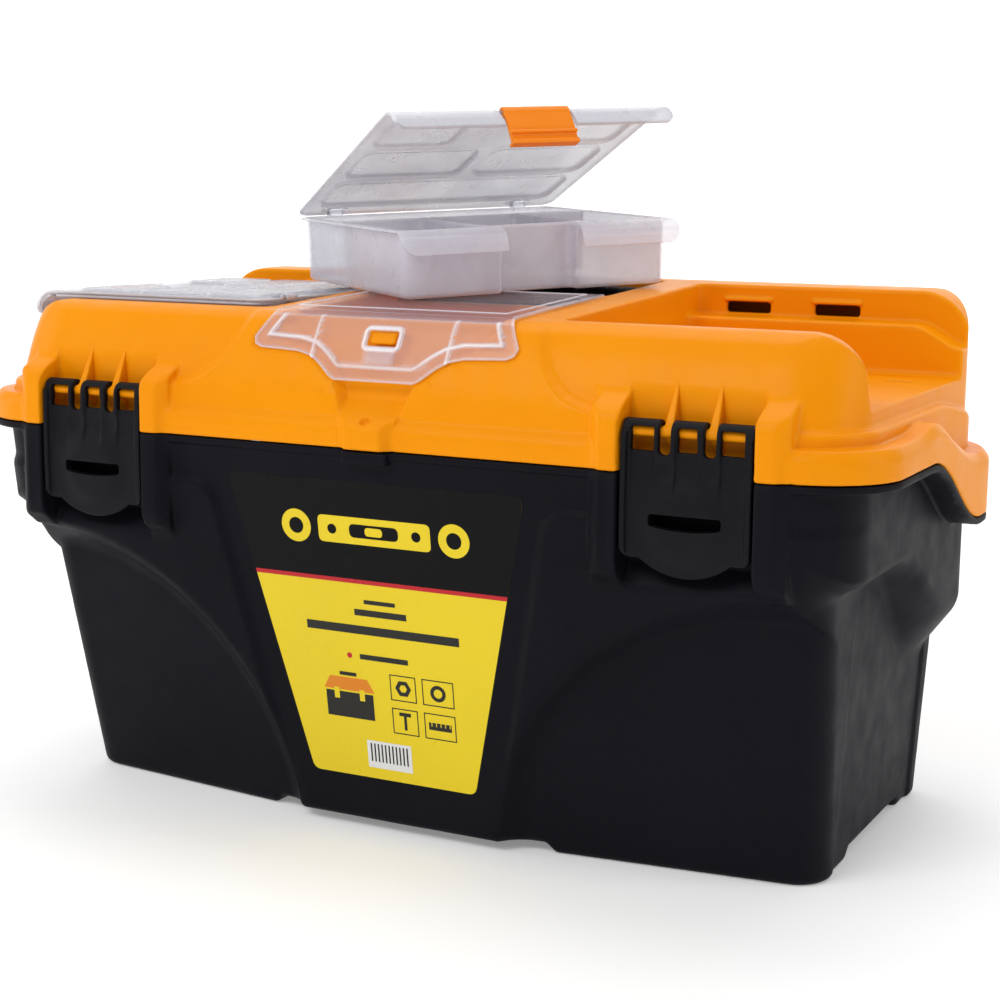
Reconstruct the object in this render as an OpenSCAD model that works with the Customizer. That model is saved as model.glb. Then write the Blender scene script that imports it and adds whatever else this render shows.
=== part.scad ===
// Toolbox with a lift-out tray, a fold-down handle and two lift-out organisers.
// Millimetres. The origin is the centre of the footprint on the floor.
// +X is right, the front faces -Y and +Z is up. The right organiser is out and lies on the lid.

/* [Overall] */
// Width across the rim band
box_w = 510; // [500:1:520]
// Depth from the front tab to the hinge knuckles
box_d = 290; // [288:1:294]
// Height of the rear arch with the lid shut
box_h = 280; // [279:1:282]
// Wall of the moulded shells
wall = 3; // [2.5:0.1:3.2]
// Height of the seam between base and lid at the front
seam_front = 205; // [204:1:206]
// Height of that seam at the hinges
seam_rear = 165; // [164:1:166]
// Gap between parts that move past each other
gap = 0.3; // [0.3:0.05:0.4]

/* [Base] */
// Width of the tub at the floor
foot_w = 436; // [430:1:440]
// Width across the overhanging shoulder
shoulder_w = 482; // [478:1:484]
// Height of the corner feet
foot_h = 5; // [4:0.5:6]
// Radius of the large arcs over the front corners
arc_r = 164; // [162:1:166]
// How far the latches stand from the middle
latch_x = 166.5; // [165:0.5:168]

/* [Lid] */
// Half width of the middle section between the bays
mid_x = 84.5; // [84:0.5:85]
// Height of the floor that the organisers stand on
bay_floor = 235; // [234:1:236]
// Corner radius of the blocks and of the arch
top_r = 28; // [26:1:30]
// Distance of the lid's hinge axis behind the middle
hinge_y = 139.3; // [139:0.1:139.6]

/* [Organiser] */
// Length of an organiser's box along its clip side
org_l = 160; // [158:1:160]
// Depth of an organiser's box from its hinge side to its clip side
org_w = 140; // [138:1:140]
// Height of an organiser's box without its lid
org_h = 36; // [35:1:36]
// Wall of the clear parts
clear_wall = 1.6; // [1.4:0.1:1.8]
// Turn of the loose organiser on the lid, in degrees
loose_turn = 54; // [53:1:55]
// How far its lid stands open, in degrees
loose_open = 24; // [22:1:30]

/* [Handle] */
// Distance from the handle's pivots to its grip
handle_reach = 74; // [72:1:75]
// Diameter of the grip
grip_d = 16; // [14:1:17]

/* [Tray] */
// Width of the lift-out tray at its rim
tray_w = 420; // [410:1:424]
// Depth of the tray at its rim
tray_d = 186; // [180:1:188]
// Height of the tray
tray_h = 44; // [40:1:46]

/* [Hidden] */
$fn = 48;

black = [0.09, 0.09, 0.1];
orange = [0.98, 0.6, 0.06];
clear = [0.87, 0.88, 0.92, 0.45];
steel = [0.7, 0.7, 0.72];
yellow = [0.9, 0.75, 0.1];

// Seam curve: level in front, an S over this stretch of the sides, level behind
curve_y0 = -45;
curve_y1 = 60;
curve_steps = 10;

// Faces of the base: distance from the middle at the floor, and lean per millimetre of height
front_foot = 106;
front_lean = 0.157;
rear_foot = 106;
rear_lean = 0.03;
side_lean = 0.055;
shoulder_rear = 125;
front_corner_r = 38;
rear_corner_r = 58;
shoulder_front_z = 148;
shoulder_rear_z = 92;

// Rim band and flange
rim_front = 140;
rim_rear = 130;
lip_t = 4;
band_h = 13;
band_rear_h = 31;
step_w = 486;
step_rise = 9;

// Corner faces below the arcs
arc_x = 220;
arc_z = -12;
block_front = 80;
block_lean = 12.4;
block_turn = 6.3;

// Latch bay between its two posts
bay_in = 32.3;
bay_z0 = 150;
post_w = 15.5;
post_front = 144;
post_top = 236;
recess_y = 126;
rod_y = -134.5;
rod_z = 224;
rod_r = 2.5;
pin_fit = 0.05;
latch_w = 63;
latch_z0 = 160;
loop_r = 5.5;
loop_pitch = 22.4;
window_w = 8;
window_h = 9;
slit_w = 35;
slit_h = 5;
slit_z = 181.5;
gusset_x = 10.7;
gusset_t = 2.4;
slot_w = 6;

// Tabs in the middle of the front: the base's below the seam, the lid's above it
base_tab = [26, 10, 6.6];
base_tab_y = -143.5;
lid_tab = [28, 20, 14];
lid_tab_y = -145;
dimple_r = 2;
dimple_y = -141;

// Front label: half widths and heights of its lower and upper edge, and its thickness
label_low = [47.5, 30];
label_high = [84, 188];
label_t = 0.4;

// Where the one-piece mouldings are divided into nodes
part_line = 0.05;
floor_cut = 8.5;
side_cut = 195;
lid_cut = 80.5;
rib_cut = 4.25;

// Top plane of the lid: it rises from the front edge to the arch
top_front_y = -107;
top_front_z = 269;
arch_front = 88;
arch_rear = 127;
top_rise = (box_h - top_front_z) / (100 - top_front_y);
top_tilt = atan(top_rise);
body_w = 476;

// Side bays
bay_y0 = -97;
bay_y1 = 71;
ledge_z = 262;
slot_z = 267;
arch_slot_x = [101, 152];
arch_slot_w = 25;
arch_slot_h = 6;

// Middle: compartment under the clear lid, then the handle's well
well_x = 60;
comp_y0 = -113;
comp_y1 = -5;
comp_floor = 238;
well_y0 = 5;
well_y1 = 100;
well_floor = 246;
handle_y = 15;
handle_z = 268;
trunnion_r = 4;
arm_x = 52;
arm_t = 9;
clid_hinge_y = 0;
clid_hinge_z = 273.2;
clid_groove_z = 269;
clid_pin_r = 1.5;
clid_t = 1.8;

// Hinges of the lid
hinge_z = seam_rear + 0.4;
knuckle_r = box_d / 2 - hinge_y;
hinge_x = 150;
knuckle_w = 30;
lug_w = 14;
hinge_pin_r = 2;
hinge_pin_fit = 0.02;

// Tray
tray_rim_t = 2.5;
tray_wall = 2.2;
tray_rim = 7;
rail_z = 149;
tray_z0 = rail_z - tray_h + tray_rim_t;
tray_cell_y = 42;
tray_cell_d = 76;
tray_pitch = 132;

// Organiser details, in its own frame: clip side towards -Y, hinge side towards +Y
org_rim = 3.5;
org_front_rim = 10.5;
org_curl = 13;
org_hinge_y = org_w / 2 + 2;
org_hinge_z = org_h + 1.6;
org_pin_r = 1.2;
org_divide_y = 18;
org_lug_x = 60;
org_mid_x = 30;
org_recess_w = 45;
org_recess_d = 9;
clip_w = 40;
clip_y = -org_w / 2 - 5.5;
clip_z = org_h - 2;
clip_rod_r = 1.3;
clip_barrel_r = 3.2;

// The loose organiser lies on the leaning top of the lid
loose_x = -27.5;
loose_y = 36;
loose_lift = 2.6;
loose_z = top_front_z + (loose_y - top_front_y) * top_rise + loose_lift;

function ease(t) = (1 - cos(180 * t)) / 2;
// Height of a curve that goes from z0 to z1 over the S stretch
function s_z(y, z0, z1) =
  y <= curve_y0 ? z0 : y >= curve_y1 ? z1 :
  z0 + (z1 - z0) * ease((y - curve_y0) / (curve_y1 - curve_y0));
function s_points(z0, z1) = [
  for (i = [0:curve_steps])
    let (y = curve_y0 + (curve_y1 - curve_y0) * i / curve_steps) [y, s_z(y, z0, z1)]
];
function top_z(y) = min(box_h, top_front_z + (y - top_front_y) * top_rise);

// Outline in the YZ plane, extruded along X
module along_x(w) rotate([90, 0, 90]) linear_extrude(w, center = true) children();
// Outline in the XZ plane, extruded along Y
module along_y(d) rotate([90, 0, 0]) linear_extrude(d, center = true) children();

// Everything above, or below, an S curve
module above(z0, z1) along_x(700)
  polygon(concat([[-300, z0]], s_points(z0, z1), [[300, z1], [300, 500], [-300, 500]]));
module below(z0, z1) along_x(700)
  polygon(concat([[-300, z0]], s_points(z0, z1), [[300, z1], [300, -50], [-300, -50]]));

// Rounded plan, with its own corner radius in front and behind
module plan(w, front, rear, rf, rr) {
  difference() {
    translate([-w / 2, -front]) square([w, front + rear]);
    for (s = [-1, 1]) {
      translate([s * w / 2, -front]) corner_off(rf, s, 1);
      translate([s * w / 2, rear]) corner_off(rr, s, -1);
    }
  }
}
// The square bit outside a rounded corner; sx and sy say which corner
module corner_off(r, sx, sy) difference() {
  translate([sx > 0 ? -r : -1, sy > 0 ? -1 : -r]) square(r + 1);
  translate([-sx * r, sy * r]) circle(r, $fn = 64);
}

module round_rect(w, d, r) {
  square([w - 2 * r, d], center = true);
  square([w, d - 2 * r], center = true);
  for (x = [-1, 1], y = [-1, 1]) translate([x * (w / 2 - r), y * (d / 2 - r)]) circle(r, $fn = 32);
}

// Closed solid of the tub moved inwards by i; its lowest level is z0
module tub_form(i, z0) difference() {
  intersection() {
    union() {
      intersection() {
        along_y(400) polygon([
          for (s = [-1, 1], z = s < 0 ? [z0, 210] : [210, z0]) [s * (foot_w / 2 + side_lean * z - i), z]
        ]);
        translate([0, 0, z0]) linear_extrude(210)
          plan(box_w - 2 * i, rim_front, rear_foot + rear_lean * 100 - i, 1, 22);
      }
      intersection() {
        above(shoulder_front_z + i, shoulder_rear_z + i);
        translate([0, 0, z0]) linear_extrude(220)
          plan(shoulder_w - 2 * i, rim_front, shoulder_rear - i, front_corner_r - i, rear_corner_r - i);
      }
    }
    along_x(600) polygon([
      [-front_foot - front_lean * z0 + i, z0], [-front_foot - front_lean * 210 + i, 210],
      [rear_foot + 40, 210], [rear_foot + 40, z0]
    ]);
    below(seam_front + (i > 0 ? 4 : 0), seam_rear + (i > 0 ? 4 : 0));
  }
  for (s = [-1, 1]) intersection() {
    translate([s * arc_x, -150, arc_z]) rotate([-90, 0, 0]) cylinder(r = arc_r + i, h = 150, $fn = 96);
    translate([s * foot_w / 2, -block_front + i, 0]) rotate([block_lean, 0, s * block_turn])
      translate([-400, -200, -100]) cube([800, 200, 500]);
  }
}

// Room for a latch in front of the recessed wall
module latch_room(s, grow) translate([s * latch_x - bay_in - grow, -200, bay_z0 - grow])
  cube([2 * bay_in + 2 * grow, 200 - recess_y + grow, 90]);

// The two posts beside a latch, between heights z0 and z1
module latch_posts(s, z0, z1) for (t = [-1, 1]) translate([s * latch_x + t * (bay_in + post_w / 2), 0, 0])
  along_x(post_w) polygon([
    [-post_front, z1], [-post_front + 2, z0 + 14], [-recess_y, z0], [-recess_y + 6, z0], [-recess_y + 6, z1]
  ]);

module knuckle(w, hole_r) difference() {
  rotate([0, 90, 0]) cylinder(r = knuckle_r, h = w, center = true);
  rotate([0, 90, 0]) cylinder(r = hole_r, h = w + 1, center = true);
}

// The block of the front wall that holds a latch, a node of its own
module bay_block(s, grow) translate([s * latch_x - bay_in - post_w - grow, -200, bay_z0 - grow])
  cube([2 * (bay_in + post_w + grow), 200 - recess_y + wall + grow, 100]);

// The rest of the tub: floor, front, rear and two sides
module base_piece(lo, hi) color(black) intersection() {
  difference() {
    base_form(false);
    for (s = [-1, 1]) bay_block(s, 0);
  }
  translate(lo + part_line * [1, 1, 1]) cube(hi - lo - 2 * part_line * [1, 1, 1]);
}
module base_floor() base_piece([-300, -200, -10], [300, 200, floor_cut]);
module base_front() base_piece([-side_cut, -200, floor_cut], [side_cut, 0, 220]);
module base_rear() base_piece([-side_cut, 0, floor_cut], [side_cut, 200, 220]);
module base_left() base_piece([-300, -200, floor_cut], [-side_cut, 200, 220]);
module base_right() base_piece([side_cut, -200, floor_cut], [300, 200, 220]);
module latch_bay(s) color(black) intersection() {
  base_form(true);
  bay_block(s, -part_line);
}
module base_form(posts) difference() {
  union() {
    difference() {
      union() {
        tub_form(0, foot_h);
        // Flange lip under the seam
        intersection() {
          translate([0, 0, foot_h]) linear_extrude(210)
            plan(box_w, rim_front, rim_rear, front_corner_r + 4, rear_corner_r + 10);
          above(seam_front - lip_t, seam_rear - lip_t);
          below(seam_front, seam_rear);
        }
        // Feet
        intersection() {
          tub_form(0, 0);
          for (s = [-1, 1], y = [-110, 30]) translate([s * 150 - 71, y, 0]) cube([142, 80, foot_h + 1]);
        }
        if (posts) for (s = [-1, 1]) intersection() {
          latch_posts(s, bay_z0, 230);
          below(seam_front, seam_rear);
        }
      }
      difference() {
        tub_form(wall, foot_h + wall);
        for (s = [-1, 1]) latch_room(s, wall);
      }
      for (s = [-1, 1]) latch_room(s, 0);
    }
    // Tab under the lid's front tab
    translate([-base_tab[0] / 2, base_tab_y, seam_front - 7]) cube(base_tab);
    // Catches behind the latches
    for (s = [-1, 1]) translate([s * latch_x, 0, 0]) along_x(40)
      polygon([[-recess_y, 170], [-recess_y - 3, 176], [-recess_y - 3, 178], [-recess_y, 180]]);
    // Rails that the tray hangs on
    for (s = [-1, 1]) intersection() {
      translate([s * 228 - 24, -86, rail_z - 12]) cube([48, 172, 12 - gap]);
      tub_form(0.5, foot_h);
    }
    // Outer hinge lugs with their arms
    for (s = [-1, 1], t = [-1, 1])
      translate([s * hinge_x + t * (knuckle_w / 2 + gap + lug_w / 2), hinge_y, hinge_z]) {
        knuckle(lug_w, hinge_pin_r + hinge_pin_fit);
        difference() {
          translate([-lug_w / 2, -20, -knuckle_r]) cube([lug_w, 20, knuckle_r - 1.2]);
          rotate([0, 90, 0]) cylinder(r = hinge_pin_r + hinge_pin_fit, h = lug_w + 1, center = true);
        }
      }
  }
  // Room for the lid's own knuckles and their arms
  for (s = [-1, 1])
    translate([s * hinge_x - knuckle_w / 2 - gap, hinge_y - knuckle_r - 4, hinge_z - knuckle_r - 0.5])
      cube([knuckle_w + 2 * gap, 20, 20]);
}

// Trapezoid sticker on the leaning front panel
module front_label() color(yellow) intersection() {
  along_y(400) polygon([
    [-label_high[0], label_high[1]], label_high, label_low, [-label_low[0], label_low[1]]
  ]);
  along_x(200) polygon([
    for (z = [20, 195]) [-front_foot - front_lean * z, z],
    for (z = [195, 20]) [-front_foot - front_lean * z - label_t, z]
  ]);
}

module hinge_pin(s) color(steel) translate([s * hinge_x, hinge_y, hinge_z]) rotate([0, 90, 0])
  cylinder(r = hinge_pin_r, h = knuckle_w + 2 * lug_w + 2 * gap, center = true);

// The tray's moulding between two planes each way: a node for each front cell, the rib and the rear
module tray_piece(x0, x1, y0, y1) color([0.22, 0.22, 0.24]) intersection() {
  tray();
  translate([x0 + part_line, y0 + part_line, 50])
    cube([x1 - x0 - 2 * part_line, y1 - y0 - 2 * part_line, 200]);
}
module tray() translate([0, 0, tray_z0]) {
  difference() {
    union() {
      linear_extrude(tray_h) round_rect(tray_w - 2 * tray_rim, tray_d - 2 * tray_rim, 14);
      translate([0, 0, tray_h - tray_rim_t]) linear_extrude(tray_rim_t) round_rect(tray_w, tray_d, 18);
    }
    // Three cells in front, one long cell behind
    for (i = [-1:1]) tray_cell(i * tray_pitch, -tray_cell_y, tray_pitch - 4);
    tray_cell(0, tray_cell_y, 3 * tray_pitch - 4);
  }
  // Central rib with a finger slot, which is the tray's handle
  difference() {
    translate([0, 0, tray_h - 2]) along_x(150)
      polygon([[-4, 0], [4, 0], [4, 22], [-4, 22]]);
    along_y(20) translate([0, tray_h + 8]) {
      square([90, 20], center = true);
      for (s = [-1, 1]) translate([s * 45, 0]) circle(10);
    }
    for (s = [-1, 1]) along_y(20) translate([s * 75, tray_h + 20]) difference() {
      square(20, center = true);
      translate([-s * 10, -10]) circle(10);
    }
  }
}
module tray_cell(x, y, w) translate([x, y, tray_wall]) linear_extrude(tray_h)
  round_rect(w, tray_cell_d, 10);

// Closed solid of the lid moved inwards by i
module lid_form(i) {
  half = body_w / 2 - i;
  intersection() {
    union() {
      // Bays, front blocks and arch
      intersection() {
        along_x(600) polygon([
          [-132 + i, 150], [-132 + i, 222], [-127 + i, 238], [-119 + i, 254 - i / 2],
          [top_front_y + i / 2, top_front_z - i], [100, box_h - i], [116, box_h - i],
          [arch_rear - i, box_h - 10 - i / 2], [arch_rear - i, 150]
        ]);
        along_y(400) difference() {
          translate([-half, 150]) square([2 * half, box_h - 150 - i]);
          for (s = [-1, 1]) translate([s * half, box_h - i]) corner_off(top_r, s, -1);
        }
        translate([0, 0, 150]) linear_extrude(200)
          plan(2 * half, 136 - i, arch_rear - i, front_corner_r - i, 50 - i);
      }
      // Middle front, proud of the blocks and flaring down to the latch posts
      intersection() {
        along_x(300) polygon([
          [-rim_front + 1 + i, 150], [-rim_front + 1 + i, 222], [-133 + i, 238], [-126 + i, 252 - i / 2],
          [-116 + i, 268 - i], [-100, 269 - i], [0, 200], [0, 150]
        ]);
        along_y(400) polygon([
          for (s = [-1, 1]) each (s < 0 ?
            [[-118 + i, 150], [-118 + i, 233], [-98 + i, 242], [-87 + i, 256], [-83 + i, 290]] :
            [[83 - i, 290], [87 - i, 256], [98 - i, 242], [118 - i, 233], [118 - i, 150]])
        ]);
      }
      // Rim band
      intersection() {
        translate([0, 0, 150]) linear_extrude(200)
          plan(box_w - 2 * i, rim_front - i, rim_rear - i, front_corner_r + 4 - i, rear_corner_r + 10 - i);
        below(seam_front + band_h - i, seam_rear + band_rear_h - i);
      }
      // Step above the band
      intersection() {
        translate([0, 0, 150]) linear_extrude(200) plan(
          step_w - 2 * i, rim_front - 5 - i, rim_rear - 2 - i, front_corner_r - i, rear_corner_r + 6 - i);
        below(seam_front + band_h + step_rise - i, seam_rear + band_rear_h + step_rise - i);
      }
    }
    above(seam_front + (i > 0 ? -5 : gap), seam_rear + (i > 0 ? -5 : gap));
  }
}

// Pockets in the lid's top, grown by g for the walls around them
module pockets(g) {
  for (s = [-1, 1]) {
    x0 = mid_x - g;
    mirror([s < 0 ? 1 : 0, 0, 0]) {
      translate([x0, bay_y0 - g, bay_floor - g]) cube([200, bay_y1 - bay_y0 + 2 * g, 80]);
      translate([x0, bay_y1 - 1, ledge_z - g]) cube([200, arch_front - bay_y1 + 1 + g, 80]);
    }
  }
  middle_pocket(g, comp_y0 - g, comp_y1 + g, comp_floor - g);
  middle_pocket(g, well_y0 - g, well_y1 + g, well_floor - g);
  // Groove for the centre lid's barrel, between the two
  middle_pocket(g, comp_y1 - 1, well_y0 + 1, clid_groove_z - g);
}

module middle_pocket(g, y0, y1, z) translate([-well_x - g, y0, z]) cube([2 * (well_x + g), y1 - y0, 80]);

// The lid's moulding between two planes, as nodes of its middle and of its sides
module lid_piece(x0, x1) color(orange) intersection() {
  lid_shell();
  translate([x0 + part_line, -200, 100]) cube([x1 - x0 - 2 * part_line, 400, 250]);
}
module lid_shell() difference() {
  union() {
    difference() {
      union() {
        lid_form(0);
        // Front tab
        intersection() {
          translate([-lid_tab[0] / 2, lid_tab_y, seam_front + gap]) cube(lid_tab);
          above(seam_front + gap, seam_rear);
        }
        for (s = [-1, 1]) intersection() {
          latch_posts(s, bay_z0, post_top);
          above(seam_front + gap, seam_rear);
        }
      }
      lid_inside();
      pockets(0);
      for (s = [-1, 1]) latch_room(s, 0);
    }
    // Rod and two gussets for each latch
    for (s = [-1, 1]) {
      translate([s * latch_x, rod_y, rod_z]) rotate([0, 90, 0])
        cylinder(r = rod_r, h = 2 * bay_in + 2, center = true);
      for (t = [-1, 1]) translate([s * latch_x + t * gusset_x, 0, 0]) along_x(gusset_t) polygon([
        [rod_y, rod_z - 2], [rod_y - 1, rod_z + 2], [-recess_y, rod_z + 16], [-recess_y, rod_z - 6]
      ]);
    }
    // Stubs that the centre lid turns on
    for (s = [-1, 1]) translate([s * (well_x - 3), clid_hinge_y, clid_hinge_z]) rotate([0, 90, 0])
      cylinder(r = clid_pin_r, h = 8, center = true);
    // Middle knuckle of each rear hinge, on its arm
    for (s = [-1, 1]) translate([s * hinge_x, hinge_y, hinge_z]) {
      knuckle(knuckle_w, hinge_pin_r + pin_fit);
      difference() {
        translate([-knuckle_w / 2, -14, 1]) cube([knuckle_w, 14, knuckle_r - 1]);
        rotate([0, 90, 0]) cylinder(r = hinge_pin_r + pin_fit, h = knuckle_w + 1, center = true);
      }
    }
  }
  // Slots in the face of the arch and in the bay floors
  for (s = [-1, 1]) {
    for (x = arch_slot_x) mirror([s < 0 ? 1 : 0, 0, 0])
      translate([x, arch_front - 2, slot_z - arch_slot_h / 2]) cube([arch_slot_w, wall + 4, arch_slot_h]);
    mirror([s < 0 ? 1 : 0, 0, 0]) translate([205, 40, bay_floor - wall - 1]) cube([14, 8, wall + 2]);
  }
  // Bores for the handle's trunnions
  for (s = [-1, 1]) translate([s * (well_x + 2), handle_y, handle_z]) rotate([0, 90, 0])
    cylinder(r = trunnion_r + pin_fit, h = 12, center = true);
  // Dimple in the front tab
  translate([0, dimple_y, seam_front + 12]) cylinder(r = dimple_r, h = 10);
}
// Hollow under the lid
module lid_inside() difference() {
  lid_form(wall);
  pockets(wall);
  for (s = [-1, 1]) latch_room(s, wall);
}

// Carrying handle, folded back into its well
module handle() color(black) {
  for (s = [-1, 1]) {
    translate([s * arm_x, 0, 0]) along_x(arm_t) union() {
      translate([handle_y, handle_z - 6]) square([handle_reach, 12]);
      translate([handle_y, handle_z]) circle(6);
    }
    translate([s * (arm_x + 6), handle_y, handle_z]) rotate([0, 90, 0])
      cylinder(r = trunnion_r, h = 11, center = true);
  }
  translate([0, handle_y + handle_reach, handle_z]) rotate([0, 90, 0])
    cylinder(r = grip_d / 2, h = 2 * arm_x + arm_t, center = true);
}

// Clear lid of the middle compartment
module centre_lid() color(clear) difference() {
  union() {
    intersection() {
      along_x(200) polygon([
        [clid_hinge_y - 4, top_z(-4) + 0.5 + clid_t], [-116, top_z(-116) + 1 + clid_t],
        [-119, top_z(-116) + clid_t - 1], [-130, 249], [-138.5, 238],
        [-138.5 + 2, 237], [-128.2, 248.4], [-117.4, top_z(-116) - 0.6], [-115, top_z(-116) + 0.5],
        [clid_hinge_y - 4, top_z(-4) + 0.5]
      ]);
      union() {
        translate([-66, -119, 200]) cube([132, 120, 100]);
        along_y(300) polygon([
          [-66, 269.5], [66, 269.5], [73, 251], [35, 248], [22, 237], [-22, 237], [-35, 248], [-73, 251]
        ]);
      }
    }
    translate([0, clid_hinge_y, clid_hinge_z]) {
      rotate([0, 90, 0]) cylinder(r = 3.2, h = 2 * well_x - 4, center = true);
      translate([-well_x + 2, -6, 0]) cube([2 * well_x - 4, 6, 3.2]);
    }
  }
  translate([0, clid_hinge_y, clid_hinge_z]) rotate([0, 90, 0])
    cylinder(r = clid_pin_r + pin_fit, h = 2 * well_x + 10, center = true);
  // Window over the snap nub
  translate([-8.4, -140, 254.5]) cube([16.8, 30, 7]);
}

// Latch: plate with side rails, three loops over the rod, finger slit and curved pull tab
module latch(s) color(black) translate([s * latch_x, 0, 0]) difference() {
  union() {
    intersection() {
      along_x(latch_w) polygon([
        [-136.5, latch_z0], [-139.5, latch_z0], [-140.5, 190], [-140, rod_z], [-136.8, rod_z], [-136.8, 190]
      ]);
      along_y(400) union() {
        translate([-latch_w / 2, latch_z0 + 6]) square([latch_w, 100]);
        translate([0, latch_z0 + 32]) circle(r = 32, $fn = 96);
      }
    }
    // Side rails
    for (t = [-1, 1]) translate([t * (latch_w / 2 - 1.5), 0, 0]) along_x(3)
      polygon([[-136.5, 168], [-142, 172], [-142.5, rod_z - 2], [-140, rod_z + 3], [-136.5, rod_z]]);
    // Ridge that meets the catch
    along_x(36) polygon([[-137, 163], [-131.5, 168], [-131.5, 170], [-137, 172]]);
    // Loops
    for (t = [-1, 0, 1]) translate([t * loop_pitch, rod_y, rod_z]) rotate([0, 90, 0])
      cylinder(r = loop_r, h = t == 0 ? 14 : latch_w / 2 - 14.5, center = true);
  }
  translate([0, rod_y, rod_z]) rotate([0, 90, 0]) cylinder(r = rod_r + pin_fit, h = 80, center = true);
  // Room for the gussets
  for (t = [-1, 1]) translate([t * gusset_x - slot_w / 2, -150, rod_z - 14]) cube([slot_w, 40, 40]);
  // Windows in front of the rod
  for (t = [-1, 0, 1]) translate([t * loop_pitch - window_w / 2, -150, rod_z - window_h])
    cube([window_w, 12, window_h]);
  // Finger slit
  translate([-slit_w / 2, -150, slit_z]) cube([slit_w, 20, slit_h]);
}

// Organiser parts, drawn in the organiser's own frame
module org_box() color(clear) difference() {
  union() {
    linear_extrude(org_h) round_rect(org_l, org_w, 6);
    // Rim
    translate([0, 0, org_h - 2]) linear_extrude(2) difference() {
      round_rect(org_l + 2 * org_rim, org_w + 2 * org_rim, 8);
      for (y = [-org_w / 2 - 20, org_w / 2 + 0.3]) translate([-org_l, y]) square([2 * org_l, 20]);
    }
    // Curled flange on the clip side
    along_x(org_l + 2 * org_rim) polygon([
      [-org_w / 2, org_h], [-org_w / 2 - 5, org_h - 3], [-org_w / 2 - org_front_rim, org_h - org_curl],
      [-org_w / 2 - org_front_rim + 1.8, org_h - org_curl], [-org_w / 2 - 4.4, org_h - 5],
      [-org_w / 2, org_h - 2]
    ]);
    // Hinge lugs
    for (s = [-1, 1]) translate([s * org_lug_x, 0, 0]) along_x(8) union() {
      translate([org_hinge_y, org_hinge_z]) circle(2.6);
      polygon([[org_w / 2 - 3, org_h - 8], [org_hinge_y + 2, org_hinge_z], [org_hinge_y - 2.4, org_hinge_z],
        [org_w / 2 - 3, org_h]]);
    }
  }
  // Compartments: one long behind, two beside the clip recess and one behind it
  org_cell(-org_l / 2 + clear_wall, org_l / 2 - clear_wall, org_divide_y, org_w / 2 - clear_wall);
  org_cell(-org_l / 2 + clear_wall, -org_mid_x, -org_w / 2 + clear_wall, org_divide_y - clear_wall);
  org_cell(org_mid_x, org_l / 2 - clear_wall, -org_w / 2 + clear_wall, org_divide_y - clear_wall);
  org_cell(-org_mid_x + clear_wall, org_mid_x - clear_wall,
    -org_w / 2 + org_recess_d + clear_wall, org_divide_y - clear_wall);
  // Clip recess
  translate([-org_recess_w / 2, -org_w / 2 - 20, -1]) cube([org_recess_w, 20 + org_recess_d, org_h + 5]);
  translate([0, org_hinge_y, org_hinge_z]) rotate([0, 90, 0])
    cylinder(r = org_pin_r + pin_fit, h = 2 * org_l, center = true);
}
module org_cell(x0, x1, y0, y1) translate([(x0 + x1) / 2, (y0 + y1) / 2, clear_wall])
  linear_extrude(org_h + 1) round_rect(x1 - x0, y1 - y0, 3);

module org_divider() color(clear)
  translate([-clear_wall / 2, org_divide_y + gap, clear_wall + 0.05])
    cube([clear_wall, org_w / 2 - clear_wall - org_divide_y - 2 * gap, org_h - clear_wall - 3]);

module org_lid() color(clear) difference() {
  union() {
    translate([0, 0, org_h + gap]) linear_extrude(clear_wall) difference() {
      round_rect(org_l + 2 * org_rim, org_w + 2 * org_rim, 8);
      for (s = [-1, 1]) translate([s * org_lug_x - 5.5, org_w / 2 - 6]) square([11, 20]);
    }
    // Curled edge on the clip side
    along_x(org_l + 2 * org_rim) polygon([
      [-org_w / 2, org_h + gap + clear_wall], [-org_w / 2 - 6, org_h - 1.4],
      [-org_w / 2 - org_front_rim - 1.2, org_h - org_curl + 2],
      [-org_w / 2 - org_front_rim - 0.5, org_h - org_curl + 1.4],
      [-org_w / 2 - 5, org_h - 2.3], [-org_w / 2, org_h + gap]
    ]);
    clip_rod(clip_rod_r);
    // Hinge pins between the lugs
    for (s = [-1, 1]) {
      translate([s * org_lug_x, org_hinge_y, org_hinge_z]) rotate([0, 90, 0])
        cylinder(r = org_pin_r, h = 14, center = true);
      for (t = [-1, 1]) translate([s * org_lug_x + t * 6, 0, 0]) along_x(3) union() {
        translate([org_hinge_y, org_hinge_z]) circle(1.9);
        polygon([[org_w / 2 - 6, org_h + gap], [org_w / 2 - 6, org_h + gap + clear_wall],
          [org_hinge_y, org_hinge_z + 1.9], [org_hinge_y, org_hinge_z - 1.2]]);
      }
    }
  }
  // Opening for the clip, crossed by the rod that it turns on
  difference() {
    translate([-clip_w / 2 - 1, -org_w / 2 - 20, 0]) cube([clip_w + 2, 19, 50]);
    clip_rod(clip_rod_r);
  }
}
module clip_rod(r) translate([0, clip_y, clip_z]) rotate([0, 90, 0])
  cylinder(r = r, h = clip_w + 4, center = true);

module org_clip() color(orange) difference() {
  union() {
    translate([0, clip_y, clip_z]) rotate([0, 90, 0])
      cylinder(r = clip_barrel_r, h = clip_w, center = true);
    along_x(clip_w) polygon([
      [clip_y - clip_barrel_r, clip_z], [clip_y - 5.5, org_h - 19], [clip_y - 7.5, org_h - 20.5],
      [clip_y - 7.5, org_h - 22.5], [clip_y - 1, org_h - 22.5], [clip_y - 1, org_h - 20.5],
      [clip_y - 3.6, org_h - 19], [clip_y - 1.5, clip_z]
    ]);
  }
  clip_rod(clip_rod_r + pin_fit);
}

// Installed place of the left organiser: its clip side faces out
module at_left() translate([-mid_x - 0.5 - org_hinge_y - 2.6, (bay_y0 + bay_y1) / 2, bay_floor + gap])
  rotate([0, 0, -90]) children();

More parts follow.
